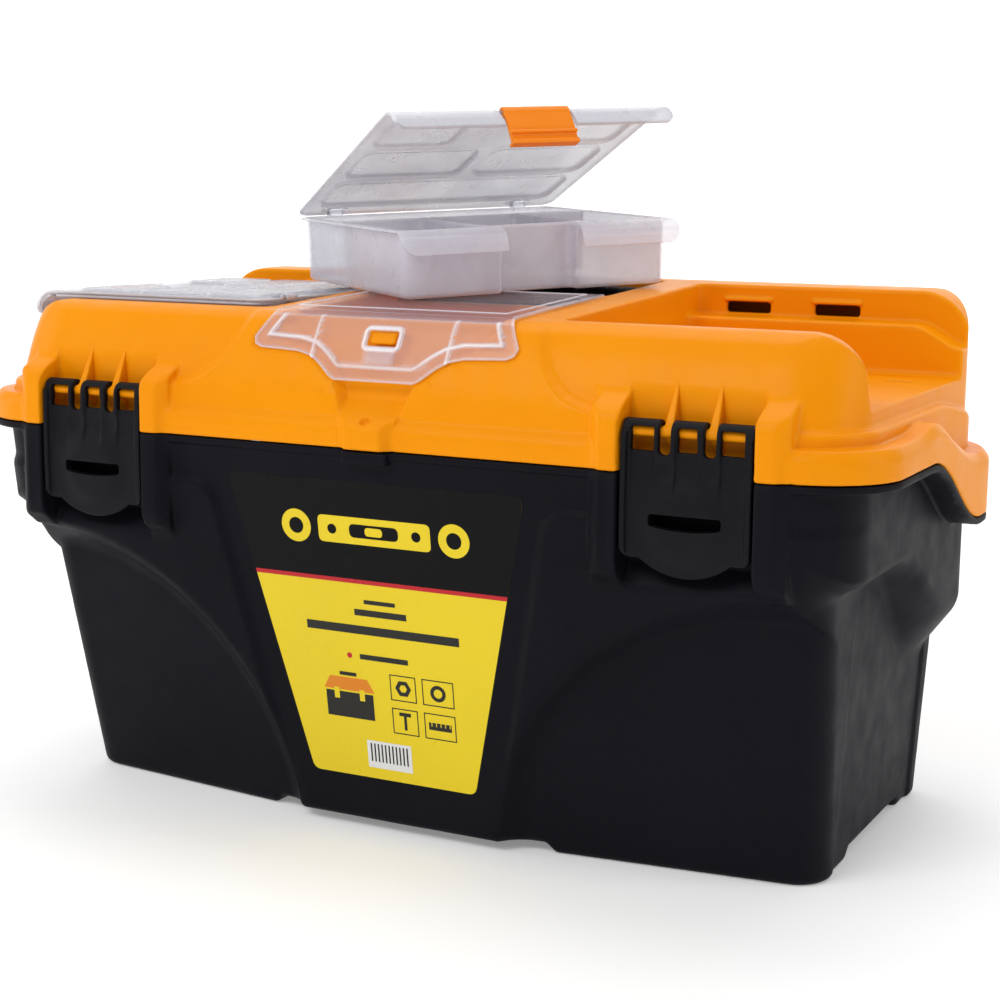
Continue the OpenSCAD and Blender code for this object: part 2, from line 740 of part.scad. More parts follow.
// Place of the loose organiser
module at_loose() translate([loose_x, loose_y, loose_z])
  rotate([top_tilt, 0, 0]) rotate([0, 0, loose_turn]) children();
module at_loose_lid() at_loose() translate([0, org_hinge_y, org_hinge_z]) rotate([-loose_open, 0, 0])
  translate([0, -org_hinge_y, -org_hinge_z]) children();

base_floor();
base_front();
base_rear();
base_left();
base_right();
latch_bay(-1);  // latch_bay_left
latch_bay(1);  // latch_bay_right
front_label();
hinge_pin(-1);  // hinge_pin_left
hinge_pin(1);  // hinge_pin_right
tray_piece(-300, -tray_pitch / 2, -150, -rib_cut);  // tray_front_left
tray_piece(-tray_pitch / 2, tray_pitch / 2, -150, -rib_cut);  // tray_front_middle
tray_piece(tray_pitch / 2, 300, -150, -rib_cut);  // tray_front_right
tray_piece(-300, 300, -rib_cut, rib_cut);  // tray_rib
tray_piece(-300, 300, rib_cut, 150);  // tray_rear
lid_piece(-300, -lid_cut);  // lid_left
lid_piece(-lid_cut, lid_cut);  // lid_middle
lid_piece(lid_cut, 300);  // lid_right
handle();
centre_lid();
latch(-1);  // latch_left
latch(1);  // latch_right
at_left() org_box();  // organizer_left_box
at_left() org_divider();  // organizer_left_divider
at_left() org_lid();  // organizer_left_lid
at_left() org_clip();  // organizer_left_clip
at_loose() org_box();  // organizer_right_box
at_loose() org_divider();  // organizer_right_divider
at_loose_lid() org_lid();  // organizer_right_lid
at_loose_lid() org_clip();  // organizer_right_clip
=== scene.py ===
import math
import bpy
import numpy as np
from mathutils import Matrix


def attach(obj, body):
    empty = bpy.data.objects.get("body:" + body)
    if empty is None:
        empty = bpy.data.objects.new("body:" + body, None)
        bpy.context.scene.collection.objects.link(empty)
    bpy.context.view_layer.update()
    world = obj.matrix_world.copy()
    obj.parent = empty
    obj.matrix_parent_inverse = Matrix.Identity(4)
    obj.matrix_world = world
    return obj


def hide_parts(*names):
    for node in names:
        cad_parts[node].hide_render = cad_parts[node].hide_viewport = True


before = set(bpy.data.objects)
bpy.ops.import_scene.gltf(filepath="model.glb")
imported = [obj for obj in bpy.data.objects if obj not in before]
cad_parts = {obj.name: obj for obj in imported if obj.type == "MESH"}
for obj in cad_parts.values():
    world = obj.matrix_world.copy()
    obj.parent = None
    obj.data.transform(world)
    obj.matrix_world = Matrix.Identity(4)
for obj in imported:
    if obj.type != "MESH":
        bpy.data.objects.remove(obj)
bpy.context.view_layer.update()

import openvdb
from mathutils import Matrix, Vector

MM = 0.001
F32 = np.float32


# ---------------------------------------------------------------- camera
def make_camera():
    # three-quarter view of the front and the right side, from just above
    az, el, roll = math.radians(27.02), math.radians(9.13), math.radians(0.573)
    fwd = Vector((-math.sin(az) * math.cos(el), math.cos(az) * math.cos(el), -math.sin(el)))
    right = Vector((math.cos(az), math.sin(az), 0))
    up = right.cross(fwd)
    r = math.cos(roll) * right + math.sin(roll) * up
    u = -math.sin(roll) * right + math.cos(roll) * up
    cam = bpy.data.cameras.new("camera")
    cam.lens, cam.sensor_width = 68.82, 36.0
    cam.shift_x, cam.shift_y = 0.0124, -0.0089
    ob = bpy.data.objects.new("camera", cam)
    m = Matrix((r, u, -fwd)).transposed().to_4x4()
    m.translation = Vector((0.4718, -0.9339, 0.3337))
    ob.matrix_world = m
    bpy.context.scene.collection.objects.link(ob)
    bpy.context.scene.camera = ob


# ---------------------------------------------------------------- distance fields, in millimetres
def smax(a, b, k):
    d = np.abs(a - b)
    m = np.maximum(k - d, 0) / k
    return np.maximum(a, b) + m * m * k * 0.25


def smin(a, b, k):
    return -smax(-a, -b, k)


def rmax(a, b, r):
    """Both: the edge between them is rounded to radius r."""
    return (np.minimum(np.maximum(a, b), -r)
            + np.sqrt(np.maximum(a + r, 0) ** 2 + np.maximum(b + r, 0) ** 2))


def rmin(a, b, r):
    """Either: the corner between them is filled to radius r."""
    return -rmax(-a, -b, r)


def cut(a, b, r):
    """a without b, with its new edge rounded."""
    return rmax(a, -b, r)


def poly(u, v, pts):
    d, s = None, None
    n = len(pts)
    for i in range(n):
        ax, ay = pts[i]
        bx, by = pts[(i + 1) % n]
        ex, ey = bx - ax, by - ay
        wx, wy = u - ax, v - ay
        t = np.clip((wx * ex + wy * ey) / (ex * ex + ey * ey), 0, 1)
        dd = (wx - ex * t) ** 2 + (wy - ey * t) ** 2
        d = dd if d is None else np.minimum(d, dd)
        c1, c2, c3 = v >= ay, v < by, ex * wy > ey * wx
        f = np.where((c1 & c2 & c3) | (~c1 & ~c2 & ~c3), -1, 1)
        s = f if s is None else s * f
    return (s * np.sqrt(d)).astype(F32)


def ramp(x, a, b):
    t = np.clip((x - a) / (b - a), 0, 1)
    return t * t * (3 - 2 * t)


def interp(x, xs, ys):
    return np.interp(x, xs, ys).astype(F32)


def rect(u, v, u0, u1, v0, v1, r):
    return rmax(np.abs(u - (u0 + u1) / 2) - (u1 - u0) / 2, np.abs(v - (v0 + v1) / 2) - (v1 - v0) / 2, r)


class Grid:
    def __init__(self, lo, hi, step):
        self.lo, self.step = np.array(lo, float), step
        counts = [int(math.ceil((hi[i] - lo[i]) / step)) + 1 for i in range(3)]
        ax = [(lo[i] + step * np.arange(counts[i])).astype(F32) for i in range(3)]
        self.X, self.Y, self.Z = ax[0][:, None, None], ax[1][None, :, None], ax[2][None, None, :]


def sample(F, p):
    i = np.clip(np.floor(p).astype(int), 0, np.array(F.shape) - 2)
    t = np.clip(p - i, 0, 1)
    out = 0
    for c in range(8):
        o = np.array([c & 1, c >> 1 & 1, c >> 2])
        w = np.prod(np.where(o, t, 1 - t), axis=1)
        j = i + o
        out = out + w * F[j[:, 0], j[:, 1], j[:, 2]]
    return out


def add_mesh(name, verts, quads, tris, normals=None):
    me = bpy.data.meshes.new(name)
    nq, nt = len(quads), len(tris)
    loops = np.concatenate([quads.ravel(), tris.ravel()]).astype(np.int32)
    me.vertices.add(len(verts))
    me.vertices.foreach_set("co", verts.astype(F32).ravel())
    me.loops.add(len(loops))
    me.loops.foreach_set("vertex_index", loops)
    me.polygons.add(nq + nt)
    starts = np.concatenate([np.arange(nq) * 4, nq * 4 + np.arange(nt) * 3])
    me.polygons.foreach_set("loop_start", starts.astype(np.int32))
    me.polygons.foreach_set("use_smooth", np.ones(nq + nt, bool))
    me.update(calc_edges=True)
    me.validate()
    if normals is not None and len(me.vertices) == len(normals):
        me.normals_split_custom_set_from_vertices(normals.astype(F32))
    ob = bpy.data.objects.new(name, me)
    bpy.context.scene.collection.objects.link(ob)
    return ob


def solid(name, g, F, mirror=False, adapt=0.02, place=None, white=None):
    """Mesh of the surface F = 0 in grid g; mirrored in x = 0 when the grid starts there."""
    lo = g.lo.copy()
    F = np.ascontiguousarray(np.broadcast_to(F, (g.X.size, g.Y.size, g.Z.size))).astype(F32)
    if mirror:
        F = np.concatenate([F[:0:-1], F], axis=0)
        lo[0] = -(g.X.size - 1) * g.step
    band = 3 * g.step
    vg = openvdb.FloatGrid()
    vg.background = band
    vg.copyFromArray(np.clip(F, -band, band))
    pts, tris, quads = vg.convertToPolygons(isovalue=0.0, adaptivity=adapt)
    half = 0.6 * np.eye(3)
    n = np.stack([sample(F, pts + half[k]) - sample(F, pts - half[k]) for k in range(3)], axis=1)
    n /= np.maximum(np.linalg.norm(n, axis=1, keepdims=True), 1e-9)
    if white is not None:
        white = np.broadcast_to(white, (g.X.size, g.Y.size, g.Z.size)).astype(F32)
        if mirror:
            white = np.concatenate([white[:0:-1], white], axis=0)
        white = sample(white, pts)
    v = pts * g.step + lo
    for faces in (quads, tris):
        if len(faces):
            a, b, c = v[faces[:, 0]], v[faces[:, 1]], v[faces[:, 2]]
            if np.sum(np.sum(np.cross(b - a, c - a) * n[faces[:, 0]], axis=1)) < 0:
                faces[:] = faces[:, ::-1]
    v *= MM
    if place is not None:
        m = np.array(place)
        v, n = v @ m[:3, :3].T + m[:3, 3], n @ m[:3, :3].T
    ob = add_mesh(name, v, quads, tris, n)
    if white is not None:
        ob.data.attributes.new("whiteness", "FLOAT", "POINT").data.foreach_set("value", white.astype(F32))
    return ob


# ---------------------------------------------------------------- numbers shared with the CAD, in millimetres
SEAM_F, SEAM_R = 205, 165
CURVE = (-45, 60)
LATCH_X, ROD_Y, ROD_Z = 166.5, -134.5, 224
BAY_IN = 32.3
MID_X = 84.5
RISE = 11 / 207
HINGE_Y, HINGE_Z, HINGE_X = 139.3, 165.4, 150


def s_curve(y, z0, z1):
    t = np.clip((y - CURVE[0]) / (CURVE[1] - CURVE[0]), 0, 1)
    return (z0 + (z1 - z0) * (1 - np.cos(np.pi * t)) / 2).astype(F32)


def slope(curve, g):
    return np.sqrt(1 + np.gradient(curve.ravel(), g.step)[None, :, None] ** 2).astype(F32)


def lip_plan(g):
    return rmax(rmax(g.X - 255, g.Y - 130, 68), -140 - g.Y, 42)


def latch_room(g):
    P = np.abs(g.X - LATCH_X)
    floor = (162 + (g.Y + 126) * 1.5 - g.Z) / 1.8
    top = (g.Z - 244 - (g.Y + 126)) / 1.42
    return np.maximum(np.maximum(P - BAY_IN, g.Y + 126), np.maximum(floor, top))


def posts(g, profile, r):
    P = np.abs(g.X - LATCH_X)
    out = poly(P, g.Y, [(32.3, -144), (42, -144), (47.8, -138.5), (47.8, -116), (32.3, -116)])
    return rmax(out, poly(g.Y, g.Z, profile), r)


# ---------------------------------------------------------------- base tub
def build_tub():
    g = Grid((0, -147, -3), (258, 134, 209), 1.0)
    X, Y, Z = g.X, g.Y, g.Z
    seam = s_curve(Y, SEAM_F, SEAM_R)
    cap = (Z - seam) / slope(seam, g)
    # leaning front with the raised side fields around the V-shaped panel
    lean = 107 + 0.155 * Z
    v_line = (55 + 0.2067 * (Z - 5) - X) / 1.02
    field = rmax(v_line, Z - 186, 15)
    front = (-Y - lean - 3 * ramp(-field, 0, 6)) / 1.012
    panel = rect(Y, Z, -62, 82, -40, 300, 3)
    side = X - 218 - 0.055 * Z + 1.6 * ramp(-panel, 0, 5)
    low = rmax(side, Y - 106 - 0.03 * Z, 20)
    shoulder_plan = rmax(X - 241, Y - 125, 55)
    zb = s_curve(Y, 148, 92)
    # its underside: nearly flat in front, a steeper chamfer behind
    fall = 16 / s_curve(Y, 9, 22)
    chamfer = (shoulder_plan + 16 - (Z - zb) * fall) / np.sqrt(1 + fall ** 2)
    shoulder = rmax(shoulder_plan, chamfer, 3)
    body = rmax(rmin(low, shoulder, 3), front, 34)
    # corner blocks under the large arcs
    r = np.sqrt(np.minimum(X - 220, 0) ** 2 + (Z + 12) ** 2)
    cone = (r - 165 + 0.8 * (Y + lean + 3)) / 1.28
    block = (-Y - 80 - 0.11 * (218 - X) - 0.22 * Z) / 1.03
    corner = np.maximum(rmax(low, block, 17), front + 3.2)
    # the two share their side face, so they blend only away from it
    body = cut(body, cone, 3)
    plain = np.minimum(body, corner)
    body = plain + (rmin(body, corner, 3) - plain) * ramp(-low, 4, 12)
    core = body
    # feet
    foot_x = 79 - X
    feet = np.maximum(foot_x, np.minimum(Y + 30, 58 - Y))
    level = 5 - 5 * ramp(-feet, -1, 6)
    body = rmax(body, (level - Z) / 1.1, 3.5)
    # lip, posts, tab and bays for the latches
    lip = rmax(lip_plan(g), np.abs(cap + 2) - 2, 1)
    body = rmin(body, lip, 1.5)
    post = posts(g, [(-144, 240), (-144, 164), (-141.5, 157), (-131, 149), (-116, 149), (-116, 240)], 2.2)
    body = rmin(body, post, 2)
    tab = rmax(rect(X, Y, -13, 13, -143.5, -130, 2), rect(Y, Z, -150, -120, 198, 204.6, 1.5), 1.5)
    body = np.minimum(body, tab)
    room = latch_room(g)
    body = cut(body, room, 1.5)
    catch = poly(Y, Z, [(-125, 166), (-129, 175), (-129, 178), (-125, 182)])
    catch = np.maximum(catch, np.abs(X - LATCH_X) - 20)
    body = smin(body, catch, 1)
    body = rmax(body, cap, 0.8)
    inner = smax(np.maximum(core + 3, -(room - 3)), 8 - Z, 4)
    body = cut(body, inner, 0.8)
    rail = np.maximum(np.maximum(204 - X, np.abs(Z - 142.85) - 5.85), np.abs(Y) - 86)
    body = np.minimum(body, np.maximum(rail, core + 0.5))
    return solid("tub", g, body, mirror=True)


# ---------------------------------------------------------------- lid shell
FRONT_Z = [190, 216, 220.3, 231, 238, 245, 252, 258, 264, 269, 280]
FRONT_MID = [140, 140, 136.8, 135, 132.6, 129.4, 125.8, 122, 117.5, 112.5, 101]
FRONT_BLOCK = [133, 133, 133, 131, 128, 125, 121.5, 118, 113.5, 108.5, 97]
# set-back panel below the clear lid's tongue, and the clear lid's own outer face
PANEL_Z = [190, 218, 222, 226, 229, 231, 237, 245, 252, 260, 280]
PANEL_Y = [139, 137.5, 135, 131.5, 129, 128.4, 126.6, 123.6, 120, 115, 98]
CLEAR_Z = [230, 237.7, 245, 251.4, 256, 262, 266, 269.5, 274, 280]
CLEAR_Y = [138, 134.4, 131, 127.6, 125, 121.6, 118.8, 115.6, 110, 101]
CLEAR_LINE = [(22.4, 237.7), (26, 239.5), (33, 245), (39, 248.5), (47, 250.3), (69, 251.2), (73, 252.8),
              (74.6, 256.5), (67.5, 269)]


def facets(g):
    u = (g.X - 88 + 0.16 * (g.Z - 230)) / 22
    w = u - np.floor(u)
    return 0.5 * (1 - (2 * w - 1) ** 2)


def lid_top(y):
    return 269 + (y + 107) * RISE


def build_lid():
    g = Grid((0, -147, 160), (258, 134, 284), 1.0)
    X, Y, Z = g.X, g.Y, g.Z
    zf = Z.ravel()
    f_mid = interp(zf, FRONT_Z, FRONT_MID)[None, None, :]
    f_blk = interp(zf, FRONT_Z, FRONT_BLOCK)[None, None, :]
    f_pan = interp(zf, PANEL_Z, PANEL_Y)[None, None, :]
    f_clr = interp(zf, CLEAR_Z, CLEAR_Y)[None, None, :] - 2.7
    middle = poly(X, Z, [(-20, 150), (130, 150), (130, 233), (118, 233.3), (110, 235), (103, 238), (97, 243),
                         (92, 249), (88, 256), (85.5, 264), (84, 275), (84, 300), (-20, 300)])
    m = ramp(-middle, -1, 4)
    depth = f_blk * (1 - m) + f_mid * m + facets(g) * ramp(Z, 222, 235)
    # rebate for the clear lid, and the channel below its tongue
    seat = [(x + 1.2, z - 0.8) for x, z in CLEAR_LINE]
    wing = poly(X, Z, [(-20, 236.8)] + seat + [(67.2, 300), (-20, 300)])
    mw = ramp(-wing, -0.4, 0.8)
    depth = depth * (1 - mw) + np.minimum(depth, f_clr) * mw
    channel = poly(X, Z, [(-20, 150), (16, 150), (16, 214), (17.5, 222), (20, 231), (23.5, 238), (28, 243),
                          (34, 248), (50, 252), (60, 262), (60, 300), (-20, 300)])
    mc = ramp(-channel, -0.4, 3.4)
    depth = depth * (1 - mc) + np.minimum(depth, f_pan) * mc
    front = (-Y - depth) / 1.05
    top = Z - np.minimum(lid_top(Y), 280)
    plan = rmax(X - 238, Y - 127, 50)
    dome = np.maximum(np.maximum(rmax(X - 238, top, 28), rmax(Y - 127, top, 14)), plan)
    body = np.maximum(dome, np.maximum(rmax(X - 238, front, 36), rmax(top, front, 6)))
    hollow = np.maximum(dome, rmax(X - 238, -Y - (f_blk - 5.5), 36))
    # rim band with its bevel, and the step above it
    bt = s_curve(Y, 216, 194) + 4 * np.exp(-((Y + 34) / 20) ** 2)
    sl = slope(bt, g)
    edge = lip_plan(g)
    band = rmax(rmax(edge, (Z - bt - 4.3) / sl, 0.6), 0.802 * edge + 0.597 * (Z - bt) / sl, 0.8)
    st = interp(Y.ravel(), [-150, 17, 45, 70, 100, 130], [227, 227, 223.5, 219, 211, 206])[None, :, None]
    step = rmax(rmax(rmax(X - 243, Y - 128, 64), -134.5 - Y, 38), (Z - st) / slope(st, g), 3)
    step = np.maximum(step, 150 - X)
    hollow = np.minimum(hollow, np.minimum(band, step))
    body = rmin(rmin(body, step, 3), band, 0.8)
    # apron and front tab
    w = interp(zf, [200, 214, 220, 229, 240], [14.5, 14.5, 16.5, 19, 22])[None, None, :]
    apron = poly(Y, Z, [(-145, 190), (-145, 215.6), (-143.6, 217.6), (-136, 222.5), (-130.5, 227),
                        (-127, 228.6), (-115, 228.6), (-115, 190)])
    tabp = poly(X, Y, [(-20, -145), (10, -145), (14.4, -140.2), (20, -139.5), (20, -110), (-20, -110)])
    tab = rmax(rmax(apron, tabp, 0.8), X - w, 1)
    body = rmin(body, tab, 0.8)
    post = posts(g, [(-144, 150), (-144, 227.5), (-142, 232), (-137, 235.5), (-124, 242), (-116, 242),
                     (-116, 150)], 1.6)
    body = rmin(body, post, 2)
    # pockets
    bay = rmax(rmax(MID_X - X, np.abs(Y + 13) - 84, 7), 235 - Z, 4)
    ledge = 262 - 12 * ramp(X, 210, 240)
    bay = rmin(bay, rmax(rmax(MID_X - X, np.abs(Y + 4.5) - 92.5, 7), ledge - Z, 2.5), 1.5)
    comp = rmax(rect(X, Y, -60, 60, -106, -5, 6), 238 - Z, 4)
    well = rmax(rect(X, Y, -60, 60, 5, 100, 9), 246 - Z, 5)
    groove = np.maximum(np.maximum(X - 60, np.abs(Y) - 6), 269 - Z)
    pockets = np.minimum(np.minimum(bay, comp), np.minimum(well, groove))
    room = latch_room(g)
    inner = np.maximum(np.maximum(hollow + 3, 3 - pockets), -(room - 3))
    body = cut(body, pockets, 1.5)
    body = cut(body, room, 1.2)
    body = cut(body, inner, 0.8)
    # slots in the arch and in the bay floor, and the dimple in the tab
    for x in (101, 152):
        hood = rmax(rect(X, Z, x - 1.5, x + 26.5, 270, 272.4, 1), np.abs(Y - 88) - 2.2, 1)
        body = smin(body, hood, 1.5)
        body = cut(body, np.maximum(rect(X, Z, x, x + 25, 264, 270, 1), np.abs(Y - 88) - 8), 0.6)
    body = cut(body, np.maximum(rect(X, Y, 205, 219, 40, 48, 1), np.abs(Z - 234) - 6), 0.6)
    dimple = np.sqrt(X ** 2 + (Y + 140.6) ** 2 + (Z - 219.6) ** 2) - 2.7
    body = cut(body, dimple, 0.8)
    nub = rmax(rect(X, Z, -7.2, 7.2, 255.6, 261, 1), -Y - (f_clr + 2.2), 1)
    body = np.minimum(body, np.maximum(nub, Y + 108))
    seam = s_curve(Y, SEAM_F + 0.3, SEAM_R + 0.3)
    body = rmax(body, (seam - Z) / slope(seam, g), 0.6)
    return solid("lid_orange", g, body, mirror=True)


def build_rod(s):
    g = Grid((-34, -138, 208), (34, -120, 250), 0.45)
    X, Y, Z = g.X, g.Y, g.Z
    rod = np.maximum(np.sqrt((Y - ROD_Y) ** 2 + (Z - ROD_Z) ** 2) - 2.45, np.abs(X) - 32.6)
    half = 0.7 + np.clip(247 - Z, 0, 40) * 0.07
    half = np.minimum(half, 2.2)
    gusset = poly(Y, Z, [(-134.5, 222), (-135.5, 226), (-124.4, 247), (-121, 247), (-121, 214), (-126, 214)])
    fin = rmax(gusset, np.abs(np.abs(X) - 10.7) - half, 0.6)
    place = Matrix.Translation((s * LATCH_X * MM, 0, 0))
    return solid("latch_rod_" + ("left" if s < 0 else "right"), g, smin(rod, fin, 1.2), place=place)


def build_hinge(s, which):
    g = Grid((-31, 118, 156), (31, 146, 178), 0.45)
    X, Y, Z = g.X, g.Y, g.Z
    r = np.sqrt((Y - HINGE_Y) ** 2 + (Z - HINGE_Z) ** 2)
    if which == "lid":
        f = rmax(r - 5.6, np.abs(X) - 14.9, 0.8)
        f = np.minimum(f, rmax(np.abs(X) - 14.9, rect(Y, Z, 122, 139.3, 166.4, 171, 1), 0.8))
    else:
        x = np.abs(X) - 22.3
        f = rmax(r - 5.6, np.abs(x) - 6.9, 0.8)
        f = np.minimum(f, rmax(np.abs(x) - 6.9, rect(Y, Z, 118, 139.3, 159.8, 164.2, 1), 0.8))
    f = cut(f, r - 2.05, 0.3)
    place = Matrix.Translation((s * HINGE_X * MM, 0, 0))
    return solid("hinge_" + which + ("_left" if s < 0 else "_right"), g, f, place=place)


# ---------------------------------------------------------------- latch
def build_latch(s):
    g = Grid((0, -144, 156), (33, -128, 231), 0.35)
    X, Y, Z = g.X, g.Y, g.Z
    zf = Z.ravel()
    outline = rmax(X - 31.5, 166 - Z, 5)
    arc = np.sqrt(X ** 2 + (Z - 192.5) ** 2) - 34.5
    outline = np.maximum(np.minimum(outline, np.maximum(arc, X - 27)), Z - 224)
    # faces of the plate: the thumb dome stands out, the panels below the windows lie deeper
    out = interp(zf, [150, 160, 168, 190, 215, 224], [138.6, 139.2, 140.1, 140.6, 140.3, 140])[None, None, :]
    dome = np.sqrt(X ** 2 + ((Z - 183) * 0.98) ** 2)
    out = out + 1.7 * ramp(-dome, -23, -12) * ramp(Z, 150, 176)
    rail = ramp(X, 28.3, 28.9) * ramp(Z, 164, 171)
    out = out + 1.6 * rail
    for c in (0, 21.6):
        p = rect(X, Z, c - 5.6, c + 5.6, 192, 230, 1.5)
        out = out - 1.0 * ramp(-p, -0.3, 0.9) * ramp(Z, 192, 206)
    cup = np.sqrt((X - 11) ** 2 + (Z - 208) ** 2)
    out = out - 0.9 * ramp(-cup, -7.5, -2)
    plate = np.maximum(-Y - out, Y + 136.8)
    body = rmax(outline, plate, 0.5)
    # loops over the rod
    r = np.sqrt((Y - ROD_Y) ** 2 + (Z - ROD_Z) ** 2)
    loop = np.maximum(r - 5.6, np.maximum(213 - Z, -(r - 2.55)))
    loop = np.maximum(loop, np.where(Z < ROD_Z, Y - ROD_Y + 2.0, -9))
    body = smin(body, np.maximum(loop, X - 31.5), 0.8)
    # slots for the gussets
    slot = rmax(np.abs(X - 10.9) - 2.9, 214 - Z, 2.6)
    body = cut(body, slot, 0.8)
    for c, w in ((0, 4.6), (21.6, 5.6)):
        win = rmax(rect(X, Z, c - w, c + w, 215.5, 226.6, 1), Y + 130, 0.5)
        body = cut(body, np.maximum(win, Y - ROD_Y + 1.5), 0.5)
    slit_z = 184.3 - 1.6 * (1 - (X / 17.5) ** 2) * ramp(-Z, -184, -182)
    slit = rmax(X - 17.3, np.abs(Z - slit_z) - 2.6, 1.2)
    body = cut(body, slit, 0.7)
    ridge = np.maximum(poly(Y, Z, [(-137.2, 163), (-132, 168), (-132, 170), (-137.2, 172)]), X - 18)
    body = np.minimum(body, ridge)
    body = np.maximum(body, -143.2 - Y)
    place = Matrix.Translation((s * LATCH_X * MM, 0, 0))
    return solid("latch_plate_" + ("left" if s < 0 else "right"), g, body, mirror=True, place=place)


# ---------------------------------------------------------------- handle, tray
def build_handle():
    g = Grid((0, 4, 258), (60, 100, 278), 0.6)
    X, Y, Z = g.X, g.Y, g.Z
    arm = rmax(rect(X, Z, 47.5, 56.5, 262, 274, 2.5), rect(Y, Z, 9, 92, 262, 274, 5), 1.5)
    zc = Z - 268
    grip = np.sqrt((Y - 89) ** 2 + zc ** 2) - 7.8 + 0.5 * ramp(np.cos(X * 2 * np.pi / 9), 0.6, 1)
    grip = rmax(grip, X - 56.3, 3)
    pin = np.maximum(np.sqrt((Y - 15) ** 2 + zc ** 2) - 3.9, np.abs(X - 57) - 2.6)
    body = np.minimum(smin(arm, grip, 4), pin)
    body = cut(body, rmax(rect(Y, Z, 24, 76, 265, 271, 2), 55 - X, 0.8), 0.6)
    return solid("carry_handle", g, body, mirror=True)


def build_tray():
    g = Grid((0, -95, 106), (212, 95, 173), 1.0)
    X, Y, Z = g.X, g.Y, g.Z
    z0 = 107.5
    wall = rmax(rect(X, Y, -203, 203, -86, 86, 14), z0 - Z, 3)
    wall = np.maximum(wall, Z - 151.4)
    rim = rmax(rect(X, Y, -209.8, 209.8, -92.8, 92.8, 18), np.abs(Z - 150.2) - 1.2, 0.8)
    skirt = np.abs(rect(X, Y, -209.8, 209.8, -92.8, 92.8, 18) + 1.2) - 1.2
    rim = np.minimum(rim, rmax(skirt, np.abs(Z - 148.4) - 3, 0.6))
    body = np.minimum(wall, rim)
    for x in (0, 132):
        body = cut(body, rmax(rect(X, Y, x - 64, x + 64, -80, -4, 10), z0 + 2.4 - Z, 4), 0.8)
    body = cut(body, rmax(rect(X, Y, -196, 196, 4, 80, 10), z0 + 2.4 - Z, 4), 0.8)
    rib = rmax(rect(X, Z, -75, 75, 140, 171.3, 9), np.abs(Y) - 3.9, 2)
    rib = cut(rib, rect(X, Z, -50, 50, 152, 162.5, 5), 1.5)
    body = rmin(body, rib, 2)
    return solid("lift_out_tray", g, body, mirror=True)


# ---------------------------------------------------------------- clear centre lid
def build_centre_lid():
    g = Grid((0, -143, 234), (75, 8, 280), 0.55)
    X, Y, Z = g.X, g.Y, g.Z
    f_clr = interp(Z.ravel(), CLEAR_Z, CLEAR_Y)[None, None, :]
    outline = poly(X, Z, [(-20, 237.7)] + CLEAR_LINE + [(66, 272), (66, 320), (-20, 320)])
    front = (-Y - f_clr) / 1.12
    top = Z - (lid_top(Y) + 2.4)
    skin = rmax(front, top, 3.5)
    bead = 0.8 * ramp(-np.abs(outline + 7), -1.3, -0.4) * ramp(Z, 200, 268)
    on_top = ramp(Z, 267, 269)
    edge = np.maximum(X - 66, np.maximum(-113 - Y, Y + 6))
    bead = bead * (1 - on_top) + on_top * 0.8 * ramp(-np.abs(edge + 7), -1.3, -0.4)
    bead = np.maximum(bead, 0.6 * ramp(-np.abs(X - 38), -1.1, -0.4) * (1 - on_top))
    win = rect(X, Z, -8.4, 8.4, 254.8, 261.8, 0.8)
    bead = np.maximum(bead, 0.8 * ramp(-np.abs(win - 1.4), -1.5, -0.5) * (1 - on_top))
    patch = 1.2 * ramp(-rect(X, Z, -8.5, 8.5, 246, 253, 1), -0.4, 0.4)
    fold = ramp(-np.abs(Z - 269), -2.2, -1) * (1 - on_top)
    white = bead / 0.8 + 0.5 * ramp(outline, -1.6, -0.6) + 0.35 * patch / 1.2 + 0.5 * fold
    body = np.maximum(skin - bead, -(skin + 1.7) - patch)
    body = rmax(body, outline, 0.7)
    body = cut(body, np.maximum(win, Y + 100), 0.4)
    body = np.maximum(body, Y + 4)
    barrel = np.maximum(np.sqrt(Y ** 2 + (Z - 273.2) ** 2) - 3.1, X - 57.8)
    body = smin(body, barrel, 1)
    body = np.maximum(body, -(np.sqrt(Y ** 2 + (Z - 273.2) ** 2) - 1.6) + np.where(X > 50, 0, -9))
    return solid("centre_cover", g, body, mirror=True, adapt=0.01, white=white)


# ---------------------------------------------------------------- organisers
ORG_L, ORG_W, ORG_H = 160, 140, 36
ORG_HY, ORG_HZ = ORG_W / 2 + 2, ORG_H + 1.6
CLIP_Y, CLIP_Z = -ORG_W / 2 - 5.5, ORG_H - 2
OX, OY = ORG_L / 2, ORG_W / 2
TURN, OPEN = 54, 24
LOOSE_AT = (-27.5, 36, 2.6)


